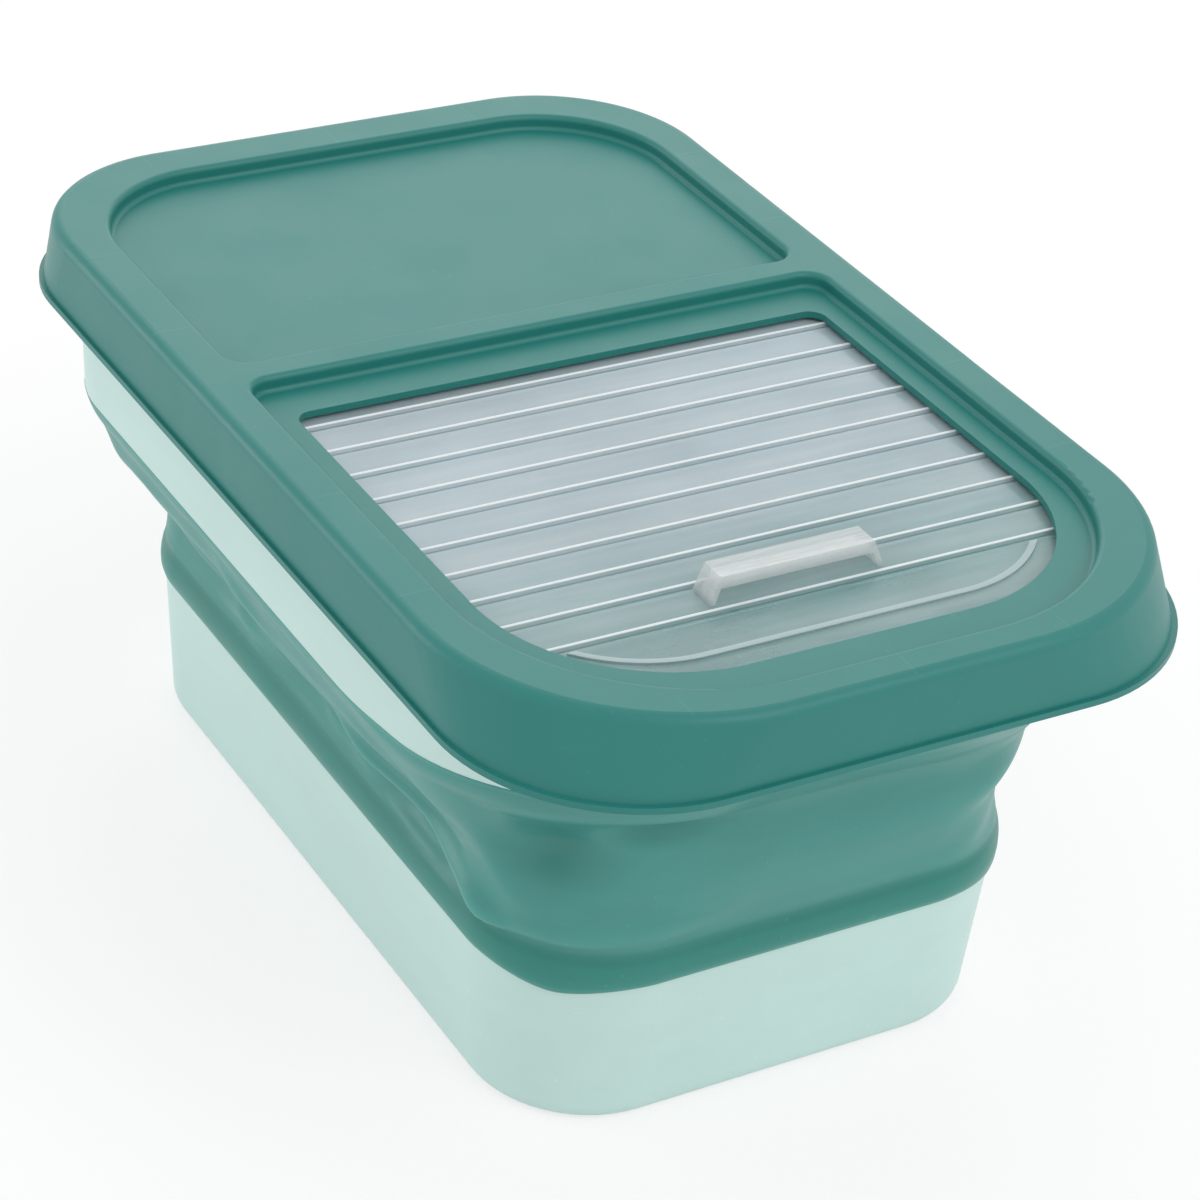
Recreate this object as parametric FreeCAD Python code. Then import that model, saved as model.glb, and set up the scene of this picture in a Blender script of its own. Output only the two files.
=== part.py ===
"""Collapsible food storage bin: hard tub, folding soft wall, collar, lift-off lid and sliding slatted door.

Millimetres. +Z is up, the floor is z = 0, and the origin is under the middle of the bin.
The door's front end points to -Y, and the door opens towards +Y.
"""
import FreeCAD, Part
import math
import os

V = FreeCAD.Vector

# Lid: outline, heights and shell
lid_length = 400.0
lid_width = 252.0
lid_front_corner = 85.0
lid_rear_corner = 60.0
lid_top_z = 183.0
lid_wall = 2.4
skirt_height = 27.0
skirt_flare = 0.4
lip_reach = 1.2
lip_height = 2.2
lip_front_corner = 62.0
lip_rear_corner = 50.0
rim_edge_radius = 4.0
skirt_inner_radius = 1.0
recess_depth = 5.5
recess_edge_radius = 2.0
recess_floor_radius = 1.6

# Lid: rim widths round the two recesses, and the bar between them
rim_side = 17.5
rim_front = 15.5
rim_rear = 21.0
panel_side = 19.0
divider_front_y = 31.0
divider_width = 12.0
recess_front_corner = 74.0
recess_bar_corner = 8.0
panel_rear_corner = 46.0

# Window in the front recess
window_ledge_side = 9.5
window_ledge_front = 17.5
window_ledge_rear = 16.0
window_front_corner = 60.0
window_rear_corner = 6.0

# Collar under the lid: upright at its top, leaning in at the front towards its lower edge
collar_inset = 10.5
collar_wall = 2.2
collar_upright_height = 16.0
collar_flange_reach = 3.5
collar_flange_height = 2.2

# Seam between collar and folding wall: level along the sides, rising towards the front
seam_z = 118.0
seam_side_inset = 13.0
seam_front_inset = 38.0
seam_front_corner = 75.0
seam_rise_start_y = -60.0
seam_rise_angle = 9.6
seam_rise_radius = 150.0

# Tub
tub_side_inset = 31.5
tub_end_inset = 45.0
tub_corner_radius = 44.0
tub_height = 56.0
tub_wall = 2.6
tub_floor = 2.8
tub_draft = 4.0
tub_bottom_radius = 6.0
tub_inner_radius = 4.0
tub_foot_width = 12.0
tub_foot_height = 1.0
tongue_height = 9.5
tongue_step = 1.2

# Folding wall
soft_wall = 2.2
soft_lip_height = 9.0
soft_lip_swell = 1.5
soft_groove_gap = 2.0
soft_waist_z = 78.0
soft_waist_share = 0.08

# Slatted door and its tracks
slat_count = 11
front_slat_depth = 36.0
slat_thickness = 1.8
slat_overlap_side = 5.0
slat_overlap_front = 4.5
slat_overlap_rear = 9.5
ridge_width = 2.2
ridge_slope = 0.65
ridge_height = 1.0
hinge_web = 0.6
hinge_notch = 0.8
door_rear_corner = 0.8
bead_side_inset = 8.0
bead_front_inset = 16.5
bead_corner = 50.0
bead_width = 2.2
door_clearance = 0.3
track_clearance = 0.4
track_wall = 2.0
track_lip_reach = 4.0
track_end_gap = 1.5
door_stop_gap = 1.0

# Pull handle on the second slat
handle_length = 62.0
handle_depth = 10.5
handle_height = 9.0
handle_wall = 1.8
handle_lip_height = 4.0
handle_end_slope = 3.5
handle_front_slope = 1.0
handle_ridge_gap = 0.8

# Heights and half sizes that follow from the driving dimensions
lid_half_x = lid_width / 2
lid_half_y = lid_length / 2
skirt_bottom_z = lid_top_z - skirt_height
recess_floor_z = lid_top_z - recess_depth
recess_under_z = recess_floor_z - lid_wall
recess_half_x = lid_half_x - rim_side
recess_front_y = rim_front - lid_half_y
panel_half_x = lid_half_x - panel_side
panel_front_y = divider_front_y + divider_width
panel_rear_y = lid_half_y - rim_rear
window_half_x = recess_half_x - window_ledge_side
window_front_y = recess_front_y + window_ledge_front
window_rear_y = divider_front_y - window_ledge_rear
collar_top_z = lid_top_z - lid_wall
tub_half_x = lid_half_x - tub_side_inset
tub_half_y = lid_half_y - tub_end_inset
tongue_top_z = tub_height + tongue_height
slat_half_x = window_half_x + slat_overlap_side
door_front_y = window_front_y - slat_overlap_front
door_front_corner = window_front_corner + slat_overlap_front
slat_top_z = recess_under_z - door_clearance - ridge_height
slat_bottom_z = slat_top_z - slat_thickness
door_rear_y = window_rear_y + slat_overlap_rear
front_slat_rear_y = door_front_y + front_slat_depth
slat_pitch = (door_rear_y - front_slat_rear_y) / (slat_count - 1)
handle_rear_y = front_slat_rear_y + slat_pitch - handle_ridge_gap
door_travel = window_rear_y - handle_rear_y - door_stop_gap


def grown(edge, grow):
    """Edge moved outwards. An edge is half width, front, rear, front corner radius, rear corner radius."""
    half_x, front_y, rear_y, front_radius, rear_radius = edge
    return (half_x + grow, front_y - grow, rear_y + grow, front_radius + grow, rear_radius + grow)


def between(low, high, share):
    """Edge part of the way from one edge to another."""
    return tuple(a + share * (b - a) for a, b in zip(low, high))


# Edges of the main pieces
lid_edge = (lid_half_x, -lid_half_y, lid_half_y, lid_front_corner, lid_rear_corner)
lip_edge = (lid_half_x, -lid_half_y, lid_half_y, lip_front_corner, lip_rear_corner)
collar_edge = grown(lid_edge, -collar_inset)
seam_edge = (
    lid_half_x - seam_side_inset, seam_front_inset - lid_half_y, lid_half_y - collar_inset,
    seam_front_corner, lid_rear_corner - collar_inset,
)
tub_edge = (tub_half_x, -tub_half_y, tub_half_y, tub_corner_radius, tub_corner_radius)
recess_edge = (recess_half_x, recess_front_y, divider_front_y, recess_front_corner, recess_bar_corner)
panel_edge = (panel_half_x, panel_front_y, panel_rear_y, recess_bar_corner, panel_rear_corner)
window_edge = (window_half_x, window_front_y, window_rear_y, window_front_corner, window_rear_corner)
door_edge = (slat_half_x, door_front_y, door_rear_y, door_front_corner, door_rear_corner)


def corner_arcs(edge):
    """Centre, radius and start angle of an edge's four corners, from the rear right one round to the left."""
    half_x, front_y, rear_y, front_radius, rear_radius = edge
    return (
        (V(half_x - rear_radius, rear_y - rear_radius, 0), rear_radius, 0),
        (V(rear_radius - half_x, rear_y - rear_radius, 0), rear_radius, 90),
        (V(front_radius - half_x, front_y + front_radius, 0), front_radius, 180),
        (V(half_x - front_radius, front_y + front_radius, 0), front_radius, 270),
    )


def on_corner(corner, turn):
    """Point on a corner's arc, at z = 0."""
    centre, radius, start = corner
    angle = math.radians(start + turn)
    return centre + V(radius * math.cos(angle), radius * math.sin(angle), 0)


def outline(edge, z):
    """Edge as a flat wire at a height."""
    corners = corner_arcs(edge)
    lines = []
    for index, corner in enumerate(corners):
        lines.append(Part.Arc(*(on_corner(corner, turn) for turn in (0, 45, 90))).toShape())
        next_start = on_corner(corners[(index + 1) % 4], 0)
        lines.append(Part.LineSegment(on_corner(corner, 90), next_start).toShape())
    wire = Part.Wire(lines)
    wire.translate(V(0, 0, z))
    return wire


def prism(wire, height):
    """Solid that stands on a flat wire."""
    return Part.Face(wire).extrude(V(0, 0, height))


def box(low, high):
    """Box between two corners."""
    size = [b - a for a, b in zip(low, high)]
    return Part.makeBox(*size, V(*low))


def rounded_path(points):
    """Closed wire in the XZ plane through (x, z, corner radius) points, with tangent arcs at the corners."""
    count = len(points)
    starts, ends, middles = [], [], []
    for index, (x, z, radius) in enumerate(points):
        corner = V(x, 0, z)
        before = V(points[index - 1][0], 0, points[index - 1][1]) - corner
        after = V(points[(index + 1) % count][0], 0, points[(index + 1) % count][1]) - corner
        before.normalize()
        after.normalize()
        half_angle = before.getAngle(after) / 2
        reach = radius / math.tan(half_angle)
        starts.append(corner + before * reach)
        ends.append(corner + after * reach)
        bisector = before + after
        bisector.normalize()
        middles.append(corner + bisector * (radius / math.sin(half_angle) - radius))
    edges = []
    for index in range(count):
        if points[index][2] > 0:
            edges.append(Part.Arc(starts[index], middles[index], ends[index]).toShape())
        edges.append(Part.LineSegment(ends[index], starts[(index + 1) % count]).toShape())
    return Part.Wire(edges)


def ring(section, edge):
    """Section of (inset, z, corner radius) points carried once round an edge."""
    pieces = []
    corners = corner_arcs(edge)
    for index, corner in enumerate(corners):
        centre, radius, start = corner
        face = Part.Face(rounded_path([(radius - inset, z, bend) for inset, z, bend in section]))
        face.rotate(V(0, 0, 0), V(0, 0, 1), start)
        face.translate(centre)
        pieces.append(face.revolve(centre, V(0, 0, 1), 90))
        face.rotate(centre, V(0, 0, 1), 90)
        next_start = on_corner(corners[(index + 1) % 4], 0)
        pieces.append(face.extrude(next_start - on_corner(corner, 90)))
    return pieces[0].multiFuse(pieces[1:]).removeSplitter()


def loft(wires):
    """Solid with straight sides between neighbouring wires."""
    return Part.makeLoft(wires, True, True)


def level_edges(shape, z, half_x, half_y):
    """Edges that lie flat at a height, within a rectangle about the origin."""
    found = []
    for edge in shape.Edges:
        limits = edge.BoundBox
        flat = abs(limits.ZMin - z) < 0.01 and abs(limits.ZMax - z) < 0.01
        inside = max(limits.XMax, -limits.XMin) < half_x and max(limits.YMax, -limits.YMin) < half_y
        if flat and inside:
            found.append(edge)
    return found


def base_tub():
    """Hard lower tub with drafted walls, a foot ring and a thin tongue inside the soft lip."""
    foot_inset = tub_draft + tub_foot_width
    wall = ring(
        [
            (foot_inset, 0, 0),
            (tub_draft, 0, tub_bottom_radius),
            (0, tub_height, 0),
            (tongue_step, tub_height, 0),
            (tongue_step, tongue_top_z, 0),
            (tub_wall, tongue_top_z, 0),
            (tub_draft + tub_wall, tub_floor, tub_inner_radius),
            (foot_inset, tub_floor, 0),
        ],
        tub_edge,
    )
    floor_wire = outline(grown(tub_edge, -foot_inset), tub_foot_height)
    return wall.fuse(prism(floor_wire, tub_floor - tub_foot_height)).removeSplitter()


def wall_shell():
    """Whole wall from the tub's edge to the lid: lip, groove, waist, flare and upright top."""
    lip_top_z = tub_height + soft_lip_height
    groove_z = tongue_top_z + soft_groove_gap
    upright_z = collar_top_z - collar_upright_height
    waist_edge = between(tub_edge, seam_edge, soft_waist_share)
    outside = loft([
        outline(grown(tub_edge, soft_lip_swell), tub_height),
        outline(grown(tub_edge, soft_lip_swell), lip_top_z),
        outline(tub_edge, groove_z),
        outline(waist_edge, soft_waist_z),
        outline(seam_edge, seam_z),
        outline(collar_edge, upright_z),
        outline(collar_edge, collar_top_z),
    ])
    inside = loft([
        outline(grown(tub_edge, -tongue_step), tub_height),
        outline(grown(tub_edge, -tongue_step), tongue_top_z),
        outline(grown(tub_edge, -soft_wall), groove_z),
        outline(grown(waist_edge, -soft_wall), soft_waist_z),
        outline(grown(seam_edge, -collar_wall), seam_z),
        outline(grown(collar_edge, -collar_wall), upright_z),
        outline(grown(collar_edge, -collar_wall), collar_top_z),
    ])
    return outside.cut(inside)


def above_seam():
    """Space above the seam between the collar and the folding wall."""
    reach = lid_length
    rise = (reach + seam_rise_start_y) * math.tan(math.radians(seam_rise_angle))
    side = rounded_path([
        (reach, seam_z, 0),
        (seam_rise_start_y, seam_z, seam_rise_radius),
        (-reach, seam_z + rise, 0),
        (-reach, lid_top_z + reach, 0),
        (reach, lid_top_z + reach, 0),
    ])
    space = Part.Face(side).extrude(V(0, lid_width * 2, 0))
    space.rotate(V(0, 0, 0), V(0, 0, 1), 90)
    space.translate(V(lid_width, 0, 0))
    return space


def folding_wall():
    """Soft wall: thick lip round the tub's tongue, a groove, a steep waist and a flare up to the seam."""
    return wall_shell().cut(above_seam())


def collar():
    """Hard upper band with a small outward flange that the lid sits on."""
    flange = ring(
        [
            (-collar_flange_reach, collar_top_z - collar_flange_height, 0),
            (-collar_flange_reach, collar_top_z, 0),
            (collar_wall, collar_top_z, 0),
            (collar_wall, collar_top_z - collar_flange_height, 0),
        ],
        collar_edge,
    )
    return wall_shell().common(above_seam()).fuse(flange).removeSplitter()


def skirt_shell():
    """Skirt and top plate: rounder corners at the rim than at the small lip round the lower edge."""
    under_z = lid_top_z - lid_wall
    rim_edge = grown(lid_edge, -lip_reach - skirt_flare)
    outside = loft([outline(grown(lip_edge, -lip_reach), skirt_bottom_z), outline(rim_edge, lid_top_z)])
    outside = outside.makeFillet(rim_edge_radius, level_edges(outside, lid_top_z, lid_half_x, lid_half_y))
    lip = prism(outline(lip_edge, skirt_bottom_z), lip_height)
    inside = loft([
        outline(grown(lip_edge, -lip_reach - lid_wall), skirt_bottom_z),
        outline(grown(rim_edge, -lid_wall), under_z),
    ])
    inside = inside.makeFillet(skirt_inner_radius, level_edges(inside, under_z, lid_half_x, lid_half_y))
    return outside.fuse(lip).cut(inside)


def lid():
    """Lid: skirt, flat rim, two sunk trays with a bar between, and the window in the front one."""
    shell = skirt_shell()
    tray_height = recess_depth + lid_wall
    for edge in (recess_edge, panel_edge):
        shell = shell.fuse(prism(outline(grown(edge, lid_wall), recess_under_z), tray_height))
    for edge in (recess_edge, panel_edge):
        shell = shell.cut(prism(outline(edge, recess_floor_z), tray_height))
    shell = shell.removeSplitter()
    mid_rim_x = lid_half_x - min(rim_side, panel_side) / 2
    mid_rim_y = lid_half_y - min(rim_front, rim_rear) / 2
    for radius, z in ((recess_edge_radius, lid_top_z), (recess_floor_radius, recess_floor_z)):
        shell = shell.makeFillet(radius, level_edges(shell, z, mid_rim_x, mid_rim_y))
    return shell.cut(prism(outline(window_edge, recess_under_z), tray_height))


def track(side):
    """Angle strip under the lid that carries one end of every slat; side is -1 or 1."""
    inner_x = slat_half_x + track_clearance
    outer_x = inner_x + track_wall
    lip_top_z = slat_bottom_z - door_clearance
    lip_bottom_z = lip_top_z - track_wall
    front_y = door_front_y + door_front_corner
    rear_y = door_rear_y + door_travel + track_end_gap
    section = [
        (outer_x, recess_under_z),
        (outer_x, lip_bottom_z),
        (slat_half_x - track_lip_reach, lip_bottom_z),
        (slat_half_x - track_lip_reach, lip_top_z),
        (inner_x, lip_top_z),
        (inner_x, recess_under_z),
    ]
    corners = [V(side * x, front_y, z) for x, z in section]
    return Part.Face(Part.makePolygon(corners + corners[:1])).extrude(V(0, rear_y - front_y, 0))


def slat(front_y, rear_y, has_ridge):
    """One door slat: a strip with thin hinge webs at its edges and a ridge along its front edge."""
    notch = hinge_notch / 2
    web_z = slat_bottom_z + hinge_web
    ridge_top_z = slat_top_z + ridge_height
    section = [
        (rear_y, slat_bottom_z),
        (rear_y, web_z),
        (rear_y - notch, web_z),
        (rear_y - notch, slat_top_z),
    ]
    if has_ridge:
        ridge_front_y = front_y + notch
        ridge_rear_y = ridge_front_y + ridge_width
        section += [
            (ridge_rear_y, slat_top_z),
            (ridge_rear_y - ridge_slope, ridge_top_z),
            (ridge_front_y + ridge_slope, ridge_top_z),
            (ridge_front_y, slat_top_z),
            (ridge_front_y, web_z),
            (front_y, web_z),
        ]
    else:
        section.append((front_y, slat_top_z))
    section.append((front_y, slat_bottom_z))
    corners = [V(-slat_half_x, y, z) for y, z in section]
    strip = Part.Face(Part.makePolygon(corners + corners[:1])).extrude(V(2 * slat_half_x, 0, 0))
    return strip.common(prism(outline(door_edge, slat_bottom_z), slat_thickness + ridge_height))


def front_slat():
    """Widest slat, at the door's front end, with a raised bead that follows its rounded edge."""
    body = slat(door_front_y, front_slat_rear_y, False)
    bead_edge = (
        slat_half_x - bead_side_inset, door_front_y + bead_front_inset, door_rear_y,
        bead_corner, door_rear_corner,
    )
    island = prism(outline(bead_edge, slat_top_z), ridge_height)
    bead = island.cut(prism(outline(grown(bead_edge, -bead_width), slat_top_z), ridge_height))
    room = box(
        (-slat_half_x, door_front_y, slat_top_z),
        (slat_half_x, front_slat_rear_y - ridge_width, slat_top_z + ridge_height),
    )
    return body.fuse(bead.common(room)).removeSplitter()


def pull_handle():
    """Small hood on the second slat: slanted legs, a lip along its front and a finger gap under the lip."""
    front_y = handle_rear_y - handle_depth
    room_rear_y = handle_rear_y - handle_wall
    lip_z = slat_top_z + handle_height - handle_lip_height
    ceiling_z = slat_top_z + handle_height - handle_wall

    def level(z, inset, ahead, rear_y):
        rise = (z - slat_top_z) / handle_height
        x = handle_length / 2 - handle_end_slope * rise - inset
        y = front_y + handle_front_slope * rise + ahead
        corners = [V(-x, y, z), V(x, y, z), V(x, rear_y, z), V(-x, rear_y, z)]
        return Part.makePolygon(corners + corners[:1])

    def block(low_z, high_z, inset, ahead, rear_y):
        return loft([level(z, inset, ahead, rear_y) for z in (low_z, high_z)])

    hood = block(slat_top_z, slat_top_z + handle_height, 0, 0, handle_rear_y)
    finger_gap = block(slat_top_z, lip_z, handle_wall, -handle_wall, room_rear_y)
    room = block(slat_top_z, ceiling_z, handle_wall, handle_wall, room_rear_y)
    return hood.cut(finger_gap).cut(room)


def door_slats():
    """All slats by name, numbered from the front."""
    named = {"door_slat_01": front_slat()}
    for number in range(2, slat_count + 1):
        front_y = front_slat_rear_y + (number - 2) * slat_pitch
        named[f"door_slat_{number:02d}"] = slat(front_y, front_y + slat_pitch, True)
    return named


nodes = {
    "base_tub": base_tub(),
    "folding_wall": folding_wall(),
    "collar": collar(),
    "lid": lid(),
    "track_left": track(-1),
    "track_right": track(1),
    "pull_handle": pull_handle(),
}
nodes.update(door_slats())

os.makedirs("parts", exist_ok=True)
for name, shape in nodes.items():
    shape.exportStep(f"parts/{name}.step")
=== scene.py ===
import math

import bpy
import numpy as np
from mathutils import Matrix, Vector


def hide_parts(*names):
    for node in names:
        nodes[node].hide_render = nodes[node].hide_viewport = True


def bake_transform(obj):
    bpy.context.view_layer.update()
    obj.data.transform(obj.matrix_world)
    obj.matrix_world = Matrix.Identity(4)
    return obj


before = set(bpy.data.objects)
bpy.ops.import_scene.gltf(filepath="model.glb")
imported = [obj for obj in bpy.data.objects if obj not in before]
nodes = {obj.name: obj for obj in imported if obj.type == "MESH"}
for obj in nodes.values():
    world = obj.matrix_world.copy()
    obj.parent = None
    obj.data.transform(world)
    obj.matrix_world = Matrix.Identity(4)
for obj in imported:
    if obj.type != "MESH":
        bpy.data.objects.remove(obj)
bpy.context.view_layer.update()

scene = bpy.context.scene
X, Y, Z = 0, 1, 2

# Sizes and places are in millimetres, apart from those of the floor, the lights and the camera
MM = 0.001

# Heights on the solids that the looks follow
TUB_TOP_Z = 56.0
LIP_TOP_Z = 67.0
GROOVE_Z = 67.5
WAIST_Z = 78.0
SEAM_Z = 118.0
UPRIGHT_Z = 164.6
SLAT_TOP_Z = 173.8
RIM_TOP_Z = 183.0


def smooth(low, high, value):
    """Smooth step from 0 at low to 1 at high."""
    share = np.clip((value - low) / (high - low), 0, 1)
    return share * share * (3 - 2 * share)


# Shader nodes

# Spans in which noise values mostly lie
NOISE_MIDDLE = (0.35, 0.65)
NOISE_WHOLE = (0.3, 0.7)


def add(tree, kind, inputs=None, **settings):
    """New shader node, with settings, and inputs that are either values or sockets to link."""
    made = tree.nodes.new(kind)
    for key, value in settings.items():
        setattr(made, key, value)
    for key, value in (inputs or {}).items():
        if isinstance(value, bpy.types.NodeSocket):
            tree.links.new(value, made.inputs[key])
        else:
            made.inputs[key].default_value = value
    return made


def new_material(name):
    """Empty material, its node tree and the object's own coordinates."""
    made = bpy.data.materials.new(name)
    made.use_nodes = True
    tree = made.node_tree
    tree.nodes.clear()
    coords = add(tree, "ShaderNodeTexCoord").outputs["Object"]
    return made, tree, coords


def finish_material(tree, shader):
    add(tree, "ShaderNodeOutputMaterial", {"Surface": shader.outputs[0]})


def axes_of(tree, vector):
    return add(tree, "ShaderNodeSeparateXYZ", {"Vector": vector}).outputs


def noise(tree, coords, scale, detail=3.0, rough=0.5, stretch=None):
    """Noise value on the given coordinates."""
    if stretch:
        coords = add(tree, "ShaderNodeMapping", {"Vector": coords, "Scale": stretch}).outputs[0]
    inputs = {"Vector": coords, "Scale": scale, "Detail": detail, "Roughness": rough}
    return add(tree, "ShaderNodeTexNoise", inputs).outputs["Fac"]


def remap(tree, value, span, to, smooth_step=False):
    """Value carried from one span of numbers to another and held at its ends."""
    kind = "SMOOTHSTEP" if smooth_step else "LINEAR"
    inputs = {"Value": value, "From Min": span[0], "From Max": span[1], "To Min": to[0], "To Max": to[1]}
    return add(tree, "ShaderNodeMapRange", inputs, interpolation_type=kind).outputs[0]


def height_span(low, high):
    return low * MM, high * MM


def math_node(tree, operation, a, b=0.0):
    return add(tree, "ShaderNodeMath", {0: a, 1: b}, operation=operation).outputs[0]


def mix_colour(tree, factor, a, b):
    made = add(tree, "ShaderNodeMix", data_type="RGBA")
    for key, value in (("Factor_Float", factor), ("A_Color", a), ("B_Color", b)):
        socket = next(s for s in made.inputs if s.identifier == key)
        if isinstance(value, bpy.types.NodeSocket):
            tree.links.new(value, socket)
        else:
            socket.default_value = value
    return next(s for s in made.outputs if s.identifier == "Result_Color")


def shade(colour, gain=1.0):
    """Colour made lighter or darker, with alpha 1."""
    return tuple(min(1.0, channel * gain) for channel in colour) + (1.0,)


def bump(tree, height, strength, distance, normal=None):
    """Normal that follows a height, on top of another normal if there is one."""
    inputs = {"Height": height, "Strength": strength, "Distance": distance * MM}
    if normal is not None:
        inputs["Normal"] = normal
    return add(tree, "ShaderNodeBump", inputs).outputs[0]


# Materials

TEAL = (0.018, 0.212, 0.190)
# TEAL_LIP is the lip's colour; TEAL_SOFT, paler, is the wall above it, partly painted sheen and partly paler
# stretched rubber
TEAL_LIP = (0.022, 0.218, 0.180)
TEAL_SOFT = (0.068, 0.310, 0.275)
MINT = (0.620, 0.840, 0.795)
CLEAR = (0.56, 0.70, 0.76)
CLEAR_FRONT = (0.27, 0.52, 0.51)
# Painted highlight for the slats' ridges, also the pale tone of their streaks, and for the front slat's bead
STREAK_AND_HIGHLIGHT = (0.88, 0.93, 0.95)
BEAD_HIGHLIGHT = (0.62, 0.76, 0.78)
# Painted shade for the slats' hinge grooves
GROOVE_SHADE = (0.50, 0.63, 0.66)
MILK = (0.95, 0.985, 1.0)

# Moulding lines across the rim: their places, where the rim starts, and how far below its top they show
SIDE_MARKS = (128.0, 71.0, -43.0, -103.0)
SIDE_RIM_X = 109.0
END_MARKS = (-73.0, -2.0, 54.0)
END_RIM_Y = 181.0
MARK_HALF_WIDTH = 0.7
MARK_DROP = 0.5

# Ridges above a slat's top, which carry a painted highlight, hinge webs below it, which carry painted shade,
# and the stretch in which the slats turn greener to the front
RIDGE_FOOT, RIDGE_CREST = 0.55, 0.95
WEB_DEPTH, WEB_START = 1.1, 0.2
FACING_UP = 0.2
GREEN_Y, PLAIN_Y = -165.0, -55.0
GREEN_CLEARER = 0.14


def rim_marks(tree, coords):
    """Faint moulding lines that cross the lid's rim."""
    axes = axes_of(tree, coords)
    on_top = math_node(tree, "GREATER_THAN", axes[Z], (RIM_TOP_Z - MARK_DROP) * MM)
    total = None
    for along, across, reach, places in ((Y, X, SIDE_RIM_X, SIDE_MARKS), (X, Y, END_RIM_Y, END_MARKS)):
        on_rim = math_node(tree, "GREATER_THAN", math_node(tree, "ABSOLUTE", axes[across]), reach * MM)
        on_rim = math_node(tree, "MULTIPLY", on_rim, on_top)
        for place in places:
            away = math_node(tree, "ABSOLUTE", math_node(tree, "SUBTRACT", axes[along], place * MM))
            line = remap(tree, away, (0.0, MARK_HALF_WIDTH * MM), to=(1.0, 0.0))
            line = math_node(tree, "MULTIPLY", line, on_rim)
            total = line if total is None else math_node(tree, "MAXIMUM", total, line)
    return total


def hard_plastic(name, colour, roughness, grain, marks=False):
    """Moulded plastic: faint clouding, fine grain, worn spots in the sheen and a few light specks."""
    made, tree, coords = new_material(name)
    cloud = remap(tree, noise(tree, coords, scale=11.0), NOISE_MIDDLE, to=(0.0, 0.65))
    streak = noise(tree, coords, scale=60.0, detail=4.0, stretch=(1.0, 0.25, 2.0))
    tint = math_node(tree, "ADD", cloud, remap(tree, streak, NOISE_MIDDLE, to=(0.0, 0.35)))
    base = mix_colour(tree, tint, shade(colour, gain=0.975), shade(colour, gain=1.025))
    speck = remap(tree, noise(tree, coords, scale=420.0, detail=1.0), (0.73, 0.77), to=(0.0, 0.16))
    base = mix_colour(tree, speck, base, shade(colour, gain=1.7))
    fine = noise(tree, coords, scale=1700.0, detail=2.0)
    normal = bump(tree, fine, strength=grain, distance=0.1)
    if marks:
        lines = rim_marks(tree, coords)
        # Moulding lines drawn lighter: a painted sheen on the real lines, which also get a bump
        base = mix_colour(tree, math_node(tree, "MULTIPLY", lines, 0.3), base, shade(colour, gain=1.35))
        normal = bump(tree, lines, strength=0.15, distance=0.2, normal=normal)
    worn = noise(tree, coords, scale=35.0, detail=5.0)
    sheen = remap(tree, worn, NOISE_WHOLE, to=(roughness - 0.025, roughness + 0.03))
    shader = add(
        tree, "ShaderNodeBsdfPrincipled",
        {"Base Color": base, "Roughness": sheen, "Normal": normal, "IOR": 1.49},
    )
    finish_material(tree, shader)
    return made


def soft_rubber(name, lip_colour, colour):
    """Soft wall: deeper colour at its lip and paler above it, partly painted sheen and partly paler stretched
    rubber; streaks of handling along it; a painted highlight on its folds and painted shade in its creases.
    """
    made, tree, coords = new_material(name)
    above_lip = height_span(GROOVE_Z - 2.0, GROOVE_Z + 5.0)
    # Paler above the lip: partly a painted sheen, partly the paler stretched rubber
    stretch_and_sheen = remap(tree, axes_of(tree, coords)[Z], above_lip, to=(0.0, 1.0), smooth_step=True)
    cloud = noise(tree, coords, scale=18.0, detail=4.0)
    streak = noise(tree, coords, scale=55.0, detail=5.0, rough=0.6, stretch=(0.5, 0.5, 2.4))
    clouding = remap(tree, cloud, NOISE_WHOLE, to=(0.0, 0.5))
    tint = math_node(tree, "ADD", clouding, remap(tree, streak, NOISE_MIDDLE, to=(0.0, 0.5)))
    dark, light = (
        mix_colour(tree, stretch_and_sheen, shade(lip_colour, gain), shade(colour, gain)) for gain in (0.94, 1.07)
    )
    base = mix_colour(tree, tint, dark, light)
    fold = add(tree, "ShaderNodeNewGeometry").outputs["Pointiness"]
    # Painted highlight on the convex folds
    painted_fold_highlight = remap(tree, fold, (0.502, 0.53), to=(0.0, 0.3))
    base = mix_colour(tree, painted_fold_highlight, base, shade(colour, gain=1.6))
    # Painted shade in the creases
    painted_crease_shade = remap(tree, fold, (0.498, 0.47), to=(0.0, 0.35))
    base = mix_colour(tree, painted_crease_shade, base, shade(lip_colour, gain=0.85))
    dust = remap(tree, noise(tree, coords, scale=520.0, detail=2.0), (0.7, 0.75), to=(0.0, 0.14))
    base = mix_colour(tree, dust, base, shade(colour, gain=1.9))
    grain = noise(tree, coords, scale=1300.0)
    height = math_node(tree, "ADD", grain, math_node(tree, "MULTIPLY", streak, 3.0))
    shader = add(
        tree, "ShaderNodeBsdfPrincipled",
        {
            "Base Color": base, "Roughness": remap(tree, streak, NOISE_MIDDLE, to=(0.34, 0.46)),
            "Normal": bump(tree, height, strength=0.1, distance=0.2), "IOR": 1.46,
        },
    )
    finish_material(tree, shader)
    return made


def slat_ridge(tree, height):
    """1 on a ridge or bead that stands above a slat, where the painted highlight goes."""
    span = height_span(SLAT_TOP_Z + RIDGE_FOOT, SLAT_TOP_Z + RIDGE_CREST)
    return remap(tree, height, span, to=(0.0, 1.0), smooth_step=True)


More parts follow.
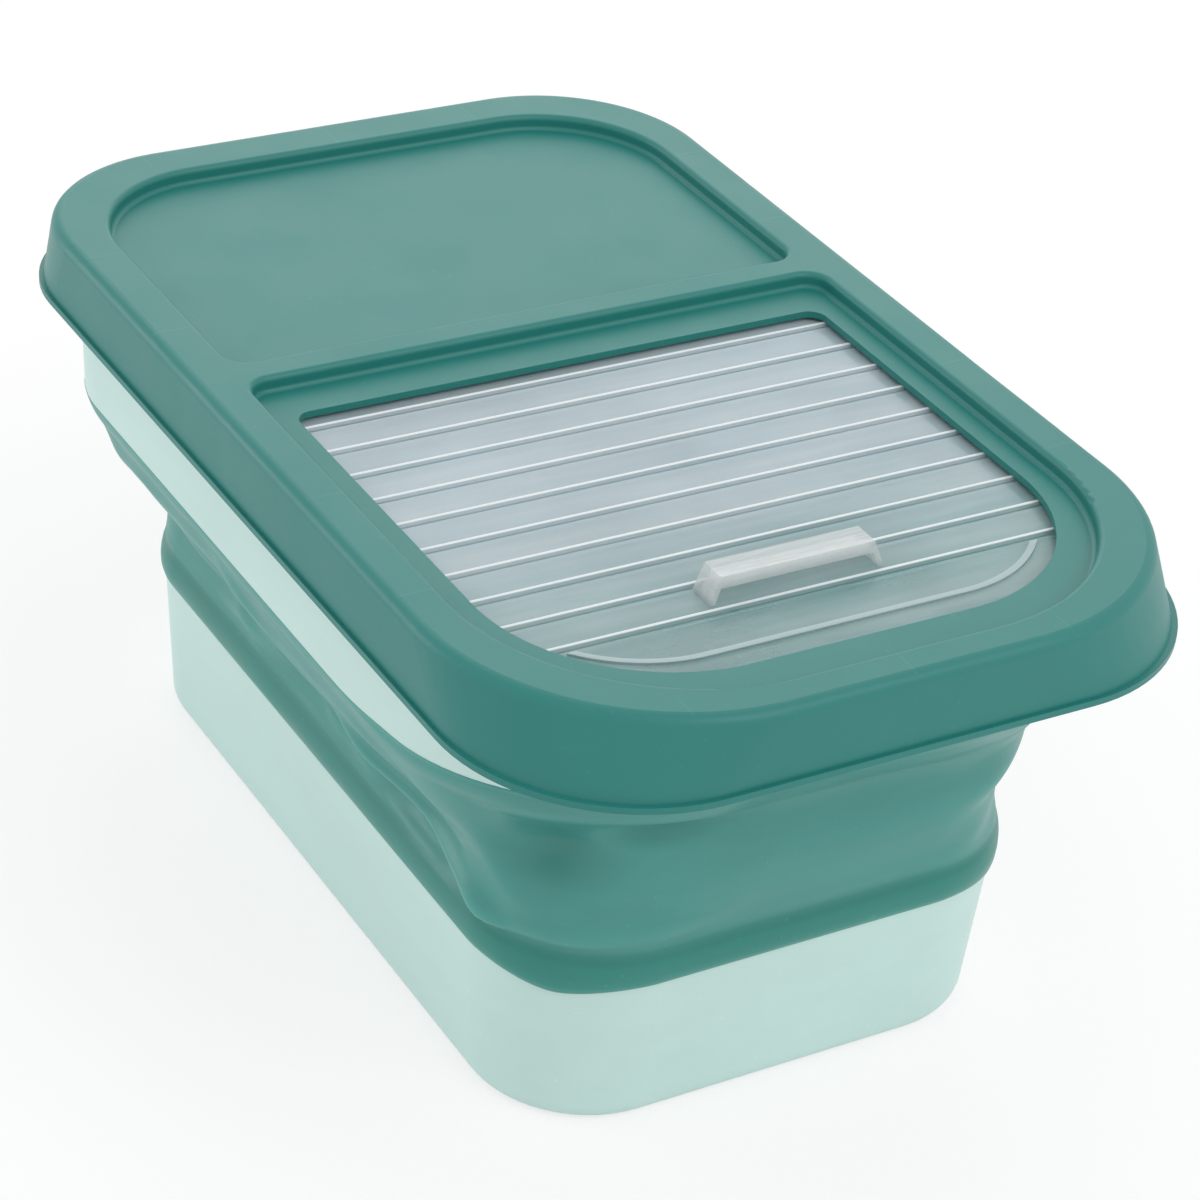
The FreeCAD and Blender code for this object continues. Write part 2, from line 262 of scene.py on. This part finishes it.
def slat_groove(tree, height):
    """1 on top of the hinge webs, which lie below a slat's top, where the painted shade goes."""
    geometry = add(tree, "ShaderNodeNewGeometry").outputs
    span = height_span(SLAT_TOP_Z - WEB_DEPTH, SLAT_TOP_Z - WEB_START)
    upper = math_node(tree, "GREATER_THAN", axes_of(tree, geometry["Normal"])[Z], FACING_UP)
    outside = math_node(tree, "SUBTRACT", 1.0, geometry["Backfacing"])
    groove = math_node(tree, "MULTIPLY", remap(tree, height, span, to=(1.0, 0.0)), upper)
    return math_node(tree, "MULTIPLY", groove, outside)


def clear_plastic(name, ridge_highlight, ridge_alpha):
    """Milky clear slat: a painted highlight on its ridges, painted shade in the hinge grooves, with streaks
    and scratches.
    """
    made, tree, coords = new_material(name)
    axes = axes_of(tree, coords)
    ridge = slat_ridge(tree, axes[Z])
    groove = slat_groove(tree, axes[Z])
    streak = noise(tree, coords, scale=26.0, detail=5.0, rough=0.6, stretch=(0.35, 3.0, 1.0))
    cloud = noise(tree, coords, scale=16.0, detail=2.0)
    hairs = noise(tree, coords, scale=95.0, detail=6.0, rough=0.75, stretch=(0.6, 1.6, 1.0))
    scratch = remap(tree, hairs, (0.68, 0.74), to=(0.0, 0.35))
    green = remap(tree, axes[Y], (GREEN_Y * MM, PLAIN_Y * MM), to=(1.0, 0.0), smooth_step=True)
    base = mix_colour(tree, green, shade(CLEAR), shade(CLEAR_FRONT))
    drawn = remap(tree, streak, NOISE_MIDDLE, to=(0.0, 0.35))
    base = mix_colour(tree, drawn, base, shade(STREAK_AND_HIGHLIGHT, gain=0.95))
    # Painted highlight on the ridges; the scratches are whitened with the same colour
    base = mix_colour(tree, math_node(tree, "MAXIMUM", ridge, scratch), base, shade(ridge_highlight))
    # Painted shade in the hinge grooves
    base = mix_colour(tree, groove, base, shade(GROOVE_SHADE))
    alpha = remap(tree, cloud, NOISE_MIDDLE, to=(0.52, 0.62))
    alpha = math_node(tree, "SUBTRACT", alpha, math_node(tree, "MULTIPLY", green, GREEN_CLEARER))
    edge_alpha = math_node(tree, "MULTIPLY", math_node(tree, "MAXIMUM", ridge, groove), ridge_alpha)
    relief = math_node(tree, "ADD", streak, math_node(tree, "MULTIPLY", scratch, 0.4))
    shader = add(
        tree, "ShaderNodeBsdfPrincipled",
        {
            "Base Color": base, "Roughness": remap(tree, streak, NOISE_WHOLE, to=(0.1, 0.24)),
            "Alpha": math_node(tree, "MAXIMUM", alpha, edge_alpha), "IOR": 1.5,
            "Normal": bump(tree, relief, strength=0.12, distance=0.6),
        },
    )
    finish_material(tree, shader)
    return made


def white_plastic(name, colour):
    """Translucent white handle with faint streaks along it, that lets light through to the slat below."""
    made, tree, coords = new_material(name)
    streak = noise(tree, coords, scale=160.0, detail=4.0, stretch=(0.12, 2.0, 2.0))
    drawn = remap(tree, streak, NOISE_WHOLE, to=(0.0, 1.0))
    scatter = 6.0 * MM
    shader = add(
        tree, "ShaderNodeBsdfPrincipled",
        {
            "Base Color": mix_colour(tree, drawn, shade(colour, gain=0.95), shade(colour)),
            "Roughness": remap(tree, streak, NOISE_WHOLE, to=(0.22, 0.34)), "IOR": 1.5, "Alpha": 0.40,
            "Normal": bump(tree, noise(tree, coords, scale=900.0), strength=0.08, distance=0.1),
            "Subsurface Weight": 1.0, "Subsurface Scale": 1.0,
            "Subsurface Radius": (scatter, scatter, scatter),
        },
    )
    finish_material(tree, shader)
    return made


teal_plastic = hard_plastic("teal_plastic_look", TEAL, roughness=0.42, grain=0.10, marks=True)
mint_plastic = hard_plastic("mint_plastic_look", MINT, roughness=0.40, grain=0.05)
teal_rubber = soft_rubber("teal_rubber_look", TEAL_LIP, TEAL_SOFT)
clear_slats = clear_plastic("clear_plastic_look", STREAK_AND_HIGHLIGHT, ridge_alpha=0.85)
clear_front = clear_plastic("clear_front_look", BEAD_HIGHLIGHT, ridge_alpha=0.55)
milk_white = white_plastic("white_plastic_look", MILK)


# Solids of the frame

ROUNDED_ABOVE = math.radians(40)


def dress(name, look):
    """Gives a solid its material."""
    node = nodes[name]
    node.data.materials.clear()
    node.data.materials.append(look)


def soften(name, width, segments=2):
    """Small round on a solid's edges."""
    bevel = nodes[name].modifiers.new("edge_round", "BEVEL")
    bevel.width = width * MM
    bevel.segments = segments
    bevel.limit_method = "ANGLE"
    bevel.angle_limit = ROUNDED_ABOVE
    bevel.harden_normals = True


for name in ("lid", "track_left", "track_right"):
    dress(name, teal_plastic)
for name in ("base_tub", "collar"):
    dress(name, mint_plastic)
dress("pull_handle", milk_white)
for name in nodes:
    if name.startswith("door_slat"):
        dress(name, clear_front if name == "door_slat_01" else clear_slats)
        soften(name, width=0.12)
soften("pull_handle", width=0.6, segments=3)
soften("collar", width=0.4)
soften("lid", width=0.6, segments=3)


# Folding wall: its plain form

# Outlines as half width, front, rear, front corner radius, rear corner radius
TUB_EDGE = (94.5, -155.0, 155.0, 44.0, 44.0)
SEAM_EDGE = (113.0, -162.0, 189.5, 75.0, 49.5)
COLLAR_EDGE = (115.5, -189.5, 189.5, 74.5, 49.5)
WALL = 2.2

# Heights of the flare, with its share of the way from the tub's outline to the seam's
FLARE = (
    (GROOVE_Z, 0.0), (72.0, 0.02), (WAIST_Z, 0.08), (88.0, 0.28), (98.0, 0.52), (108.0, 0.77), (SEAM_Z, 1.0),
)

# Rise of the seam to the front: where it starts, its slope, and half the length of the bend into it
SEAM_RISE_Y = -60.0
SEAM_RISE_SLOPE = math.tan(math.radians(9.6))
SEAM_RISE_ROUND = 12.5
SEAM_PASSES = 4

# Points on each stretch of an outline, which starts at its rear right corner and goes round by the rear end
CORNER_STEPS = 56
END_STEPS = 60
SIDE_STEPS = 120
HALF_ROUND = (("corner", CORNER_STEPS), ("end", END_STEPS), ("corner", CORNER_STEPS), ("side", SIDE_STEPS))
FRONT_LEFT_MIDDLE = sum(count for _, count in HALF_ROUND) + CORNER_STEPS // 2


def edge_ring(edge):
    """Points and outward directions round an outline, with the same count on each of its stretches."""
    half_x, front_y, rear_y, front_radius, rear_radius = edge
    corners = (
        (half_x - rear_radius, rear_y - rear_radius, rear_radius, 0),
        (rear_radius - half_x, rear_y - rear_radius, rear_radius, 90),
        (front_radius - half_x, front_y + front_radius, front_radius, 180),
        (half_x - front_radius, front_y + front_radius, front_radius, 270),
    )

    def on_corner(corner, turn):
        x, y, radius, start = corner
        angle = np.radians(start + turn)
        away = np.stack([np.cos(angle), np.sin(angle)], -1)
        return np.array([x, y]) + radius * away, away

    points, outward = [], []
    for index, (kind, count) in enumerate(HALF_ROUND * 2):
        share = np.arange(count) / count
        corner = corners[index // 2]
        if kind == "corner":
            place, away = on_corner(corner, 90 * share)
        else:
            start, away = on_corner(corner, np.array(90.0))
            stop, _ = on_corner(corners[(index // 2 + 1) % len(corners)], np.array(0.0))
            place = start + (stop - start) * share[:, None]
            away = np.repeat(away[None], count, 0)
        points.append(place)
        outward.append(away)
    return np.concatenate(points), np.concatenate(outward)


TUB_RING, _ = edge_ring(TUB_EDGE)
SEAM_RING, OUTWARD = edge_ring(SEAM_EDGE)
COLLAR_RING, _ = edge_ring(COLLAR_EDGE)
COUNT = len(OUTWARD)


def run_length():
    """Distance round the seam from the middle of the front left corner, growing towards the front."""
    steps = np.linalg.norm(np.roll(SEAM_RING, -1, 0) - SEAM_RING, axis=1)
    place = np.concatenate([[0.0], np.cumsum(steps)[:-1]])
    total = steps.sum()
    run = place - place[FRONT_LEFT_MIDDLE]
    return (run + total / 2) % total - total / 2, total


RUN, RUN_TOTAL = run_length()


def wall_place(z):
    """Plan points of the plain wall at a height for each place round it."""
    low = np.interp(z, *zip(*FLARE))[:, None]
    high = np.clip((z - SEAM_Z) / (UPRIGHT_Z - SEAM_Z), 0, 1)[:, None]
    flared = TUB_RING + low * (SEAM_RING - TUB_RING)
    return flared + high * (COLLAR_RING - SEAM_RING)


def seam_height():
    """Height of the seam round the wall: level at the sides and rear, rising towards the front."""
    z = np.full(COUNT, SEAM_Z)
    for _ in range(SEAM_PASSES):
        ahead = SEAM_RISE_Y - wall_place(z)[:, Y]
        bend = (ahead + SEAM_RISE_ROUND) ** 2 / (4 * SEAM_RISE_ROUND)
        rise = np.where(ahead > SEAM_RISE_ROUND, ahead, np.where(ahead > -SEAM_RISE_ROUND, bend, 0))
        z = SEAM_Z + SEAM_RISE_SLOPE * rise
    return z


SEAM_HEIGHT = seam_height()


# Folding wall: its dents and creases
# Places run round the wall from the middle of its front left corner, heights from 0 at the groove to the seam

SEAM_HIGH = 56.0
FRONT_RIGHT = 194.0
REAR_LEFT = -325.0
REAR_RIGHT = 519.0

# Stretches round the wall as start, full from, full to and stop
LEFT_SIDE = (-345.0, -280.0, -85.0, -40.0)
RIGHT_SIDE = (235.0, 280.0, 460.0, 520.0)
FRONT_END = (35.0, 75.0, 150.0, 212.0)

# Waves as rise, length round the wall, length up it and phase
WAVES = ((0.3, 23.0, math.inf, 1.3), (0.18, 11.7, 17.0, 0.0), (0.09, 7.3, -9.0, 0.0))

# Hollows along a whole stretch as height, half height and depth, where a bulge has a depth below 0
SIDE_HOLLOW = (17.0, 10.0, 6.0)
SIDE_BULGE = (38.0, 6.0, -1.6)
FRONT_HOLLOW = (37.0, 8.0, 2.8)
FRONT_BULGE = (18.0, 12.0, -2.4)
SIDE_SWAY, SIDE_SWAY_LENGTH = 0.3, 31.0

# Dents as place, height, half width, half height and depth
DENTS = (
    (4.0, 32.0, 20.0, 9.0, 11.5),
    (40.0, 40.0, 22.0, 4.5, 6.0),
    (-12.0, 17.0, 30.0, 11.0, -3.0),
    (-78.0, 18.0, 26.0, 10.0, 3.5),
    (FRONT_RIGHT - 6.0, 14.0, 42.0, 9.0, 4.0),
    (FRONT_RIGHT - 6.0, 43.0, 42.0, 9.0, -5.5),
    (REAR_LEFT, 24.0, 34.0, 12.0, 2.0),
    (REAR_RIGHT, 24.0, 34.0, 12.0, 2.0),
)

# Creases as start, stop, reach to either side and rise, where a start or stop is a place and a height
CORNER_CREASES = (
    ((-120.0, 27.0), (-34.0, 5.0), 5.5, 5.2),
    ((-118.0, 12.0), (-66.0, 2.0), 7.0, -2.2),
    ((-92.0, 40.0), (-30.0, 22.0), 9.0, -2.6),
    ((-10.0, 47.0), (64.0, 45.0), 4.0, 1.8),
    ((-42.0, 6.0), (70.0, 8.0), 4.5, 1.7),
)
LONG_CREASES = (
    ((-262.0, 24.0), (-128.0, 9.0)),
    ((-196.0, 39.0), (-66.0, 15.0)),
    ((-240.0, 8.0), (-150.0, 20.0)),
)
SHORT_CREASE_PLACES = (-130.0, -196.0, -262.0, 262.0, 318.0, 372.0, 430.0)

# Creases across the front right corner as height and rise
FRONT_RIGHT_CREASES = ((9.0, 0.8), (17.0, -0.7), (25.0, 0.9), (34.0, -0.6))
CREASE_FADE = 14.0


def near(run, place):
    """Signed distance round the wall from a place."""
    return (run - place + RUN_TOTAL / 2) % RUN_TOTAL - RUN_TOTAL / 2


def within(run, stretch):
    """1 inside a stretch of the wall, fading to 0 at its ends."""
    start, full_from, full_to, stop = stretch
    return smooth(start, full_from, run) * smooth(stop, full_to, run)


def hollow(high, height, tall, depth):
    return -depth * np.exp(-((high - height) / tall) ** 2)


def dent(run, high, place, height, wide, tall, depth):
    return hollow(high, height, tall, depth) * np.exp(-(near(run, place) / wide) ** 2)


def crease(run, high, start, stop, reach, rise):
    """Ridge along a line from start to stop, each given as a place round the wall and a height."""
    across = near(run, start[0])
    line = np.array([stop[0] - start[0], stop[1] - start[1]])
    length = np.hypot(*line)
    along = (across * line[0] + (high - start[1]) * line[1]) / length
    away = np.abs(across * line[1] - (high - start[1]) * line[0]) / length
    ends = smooth(-CREASE_FADE, CREASE_FADE, along)
    ends = ends * smooth(length + CREASE_FADE, length - CREASE_FADE, along)
    return rise * np.exp(-(away / reach) ** 2) * ends


def all_creases():
    """Start, stop, reach and rise of each crease on the wall."""
    yield from CORNER_CREASES
    for place in (REAR_LEFT, REAR_RIGHT):
        yield (place - 36.0, 40.0), (place - 16.0, 10.0), 5.0, 0.9
        yield (place + 36.0, 38.0), (place + 16.0, 12.0), 5.0, 0.8
    for height, rise in FRONT_RIGHT_CREASES:
        yield (FRONT_RIGHT - 44.0, height), (FRONT_RIGHT + 16.0, height + 3.0), 3.5, rise
    for start, stop in LONG_CREASES:
        yield start, stop, 4.5, 2.0
    for place in SHORT_CREASE_PLACES:
        yield (place, 34.0), (place + 40.0, 8.0), 5.0, 0.9


def wall_relief(run, high):
    """How far the soft wall bulges, or caves in below 0, at a place and a height on it."""
    sides = within(run, LEFT_SIDE) + within(run, RIGHT_SIDE)
    sway = 1 + SIDE_SWAY * np.sin(run / SIDE_SWAY_LENGTH)
    out = sum(rise * np.sin(run / round_length + high / up_length + phase)
              for rise, round_length, up_length, phase in WAVES)
    out += sides * (hollow(high, *SIDE_HOLLOW) * sway + hollow(high, *SIDE_BULGE))
    out += within(run, FRONT_END) * (hollow(high, *FRONT_HOLLOW) + hollow(high, *FRONT_BULGE))
    out += sum(dent(run, high, *shape) for shape in DENTS)
    out += sum(crease(run, high, *shape) for shape in all_creases())
    return out


# Folding wall: its mesh

# Lip as height and swell past the tub's outline, dipping a little round the corners
LIP_PROFILE = (
    (TUB_TOP_Z, 0.45), (56.7, 1.1), (58.2, 1.55), (60.5, 1.75), (62.8, 1.6), (64.6, 1.25), (66.0, 0.8),
    (LIP_TOP_Z, 0.45),
)
CORNER_DIP = 2.6
DIP_FROM = 0.1

# Inside of the lip, which grips the tub's tongue
TONGUE_INSET = 1.1
TONGUE_HEIGHTS = (65.0, TUB_TOP_Z + 0.2)

# Rows above the lip, with the shares of the wall's height in which the relief grows and fades
WALL_ROWS = 64
INNER_EVERY = 2
RELIEF_FROM, RELIEF_FULL = -0.02, 0.1
RELIEF_FADES, RELIEF_STOP = 0.84, 1.0

# Flat band under the seam: where it starts, how far it swells and how far the wall leans out by then
BAND_FROM = 0.85
BAND_SWELL = 0.75
BAND_LEAN = 0.12


def wall_rows():
    """Outer rows of the wall from its lower edge to the seam, as arrays of points."""
    turned = np.abs(OUTWARD).min(axis=1) / np.abs(OUTWARD).max(axis=1)
    dip = CORNER_DIP * smooth(DIP_FROM, 1.0, turned)
    rows = []
    for z, swell in LIP_PROFILE:
        fade = (LIP_TOP_Z - z) / (LIP_TOP_Z - TUB_TOP_Z)
        rows.append(np.column_stack([TUB_RING + OUTWARD * swell, z - dip * fade]))
    for step in range(1, WALL_ROWS + 1):
        share = step / WALL_ROWS
        z = GROOVE_Z + share * (SEAM_HEIGHT - GROOVE_Z)
        inside = smooth(RELIEF_FROM, RELIEF_FULL, share) * smooth(RELIEF_STOP, RELIEF_FADES, share)
        on_band = np.clip((share - BAND_FROM) / (1 - BAND_FROM), 0, 1)
        band = BAND_SWELL * math.sin(math.pi * on_band) + BAND_LEAN * share
        move = inside * wall_relief(RUN, np.full(COUNT, share * SEAM_HIGH)) + band
        rows.append(np.column_stack([wall_place(z) + OUTWARD * move[:, None], z]))
    return rows


def build_wall():
    """Closed shell: outer rows up, inner rows down, joined into a ring."""
    rows = wall_rows()
    above_lip = rows[len(LIP_PROFILE) - 1:]
    for row in above_lip[::-INNER_EVERY]:
        rows.append(np.column_stack([row[:, :Z] - OUTWARD * WALL, row[:, Z]]))
    for z in TONGUE_HEIGHTS:
        rows.append(np.column_stack([TUB_RING - OUTWARD * TONGUE_INSET, np.full(COUNT, z)]))
    faces = []
    for row in range(len(rows)):
        below, above = row * COUNT, (row + 1) % len(rows) * COUNT
        for column in range(COUNT):
            after = (column + 1) % COUNT
            faces.append((below + column, below + after, above + after, above + column))
    mesh = bpy.data.meshes.new("soft_wall")
    mesh.from_pydata((np.concatenate(rows) * MM).tolist(), [], faces)
    mesh.polygons.foreach_set("use_smooth", [True] * len(faces))
    mesh.materials.append(teal_rubber)
    made = bpy.data.objects.new("soft_wall", mesh)
    scene.collection.objects.link(made)
    return made


soft_wall = build_wall()
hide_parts("folding_wall")
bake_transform(soft_wall)


# Floor, light and camera, in metres

WHITE = (1.0, 1.0, 1.0, 1.0)
FLOOR_REACH = 6.0
FLOOR_PALE = 0.85
FLOOR_CLOUD = 0.01
FLOOR_GLOW = 0.68
FLOOR_SHADOW = 0.34
ROOM_LIGHT = 0.74

# Soft boxes as name, place, point that they face, width and watts
LIGHTS = (
    ("key_light", (0.6, -1.6, 1.9), (0, 0, 0.12), 1.4, 12.0),
    ("rear_light", (0.75, 1.6, 1.15), (0, 0, 0.15), 1.6, 7.5),
    ("side_light", (-1.55, 1.55, 0.43), (0, 0, 0.12), 0.8, 6.5),
)

# Camera at the photo's viewing angle
VIEW_AZIMUTH = math.radians(-32.235)
VIEW_HEIGHT = math.radians(31.859)
VIEW_ROLL = math.radians(-5.128)
VIEW_TARGET = Vector((0, 0, 0.1))
VIEW_DISTANCE = 1.2485
VIEW_RIGHT, VIEW_UP = 0.010745, -0.005336
LENS = 110.87
SENSOR = 36.0


def seen_directly(tree):
    """1 for rays that show the background itself: from the camera, mirrored or let through."""
    path = add(tree, "ShaderNodeLightPath").outputs
    mirrored = math_node(tree, "MAXIMUM", path["Is Glossy Ray"], path["Is Transmission Ray"])
    return math_node(tree, "MAXIMUM", path["Is Camera Ray"], mirrored)


def make_floor():
    """Pale floor that looks white and keeps a soft shadow under the bin."""
    made, tree, coords = new_material("floor_look")
    cloud = noise(tree, coords, scale=3.0)
    pale = remap(tree, cloud, NOISE_WHOLE, to=(FLOOR_PALE - FLOOR_CLOUD, FLOOR_PALE + FLOOR_CLOUD))
    colour = add(tree, "ShaderNodeCombineColor", {0: pale, 1: pale, 2: pale}).outputs[0]
    matte = add(tree, "ShaderNodeBsdfDiffuse", {"Color": colour})
    shadow = add(tree, "ShaderNodeBsdfDiffuse", {"Color": shade((FLOOR_SHADOW, FLOOR_SHADOW, FLOOR_SHADOW))})
    glow = add(tree, "ShaderNodeEmission", {"Color": WHITE, "Strength": FLOOR_GLOW})
    white = add(tree, "ShaderNodeAddShader", {0: shadow.outputs[0], 1: glow.outputs[0]})
    mixed = {0: seen_directly(tree), 1: matte.outputs[0], 2: white.outputs[0]}
    finish_material(tree, add(tree, "ShaderNodeMixShader", mixed))
    corners = [(x * FLOOR_REACH, y * FLOOR_REACH, 0) for x, y in ((-1, -1), (1, -1), (1, 1), (-1, 1))]
    mesh = bpy.data.meshes.new("floor")
    mesh.from_pydata(corners, [], [(0, 1, 2, 3)])
    mesh.materials.append(made)
    floor = bpy.data.objects.new("floor", mesh)
    scene.collection.objects.link(floor)


def make_world():
    """Even light from all round, with a white background behind the bin."""
    world = bpy.data.worlds.new("studio")
    scene.world = world
    world.use_nodes = True
    tree = world.node_tree
    tree.nodes.clear()
    room = add(tree, "ShaderNodeBackground", {"Color": WHITE, "Strength": ROOM_LIGHT})
    white = add(tree, "ShaderNodeBackground", {"Color": WHITE, "Strength": 1.0})
    sky = add(tree, "ShaderNodeMixShader", {0: seen_directly(tree), 1: room.outputs[0], 2: white.outputs[0]})
    add(tree, "ShaderNodeOutputWorld", {"Surface": sky.outputs[0]})


def soft_light(name, place, target, size, power):
    """Square soft box that faces a point."""
    data = bpy.data.lights.new(name, "AREA")
    data.size = size
    data.energy = power
    made = bpy.data.objects.new(name, data)
    made.location = place
    made.rotation_mode = "QUATERNION"
    made.rotation_quaternion = (Vector(target) - Vector(place)).to_track_quat("-Z", "Y")
    scene.collection.objects.link(made)


def make_camera():
    """Camera that looks along the view's angles, rolled a little and moved across its picture."""
    back = Vector((
        math.sin(VIEW_AZIMUTH) * math.cos(VIEW_HEIGHT),
        -math.cos(VIEW_AZIMUTH) * math.cos(VIEW_HEIGHT),
        math.sin(VIEW_HEIGHT),
    ))
    right = Vector((math.cos(VIEW_AZIMUTH), math.sin(VIEW_AZIMUTH), 0))
    up = back.cross(right)
    turned_right = right * math.cos(VIEW_ROLL) - up * math.sin(VIEW_ROLL)
    turned_up = right * math.sin(VIEW_ROLL) + up * math.cos(VIEW_ROLL)
    data = bpy.data.cameras.new("camera")
    data.lens = LENS
    data.sensor_width = SENSOR
    camera = bpy.data.objects.new("camera", data)
    scene.collection.objects.link(camera)
    camera.location = VIEW_TARGET + right * VIEW_RIGHT + up * VIEW_UP + back * VIEW_DISTANCE
    camera.rotation_mode = "QUATERNION"
    camera.rotation_quaternion = Matrix((turned_right, turned_up, back)).transposed().to_quaternion()
    scene.camera = camera


make_floor()
scene.view_settings.view_transform = "Standard"
make_world()
for light in LIGHTS:
    soft_light(*light)
make_camera()
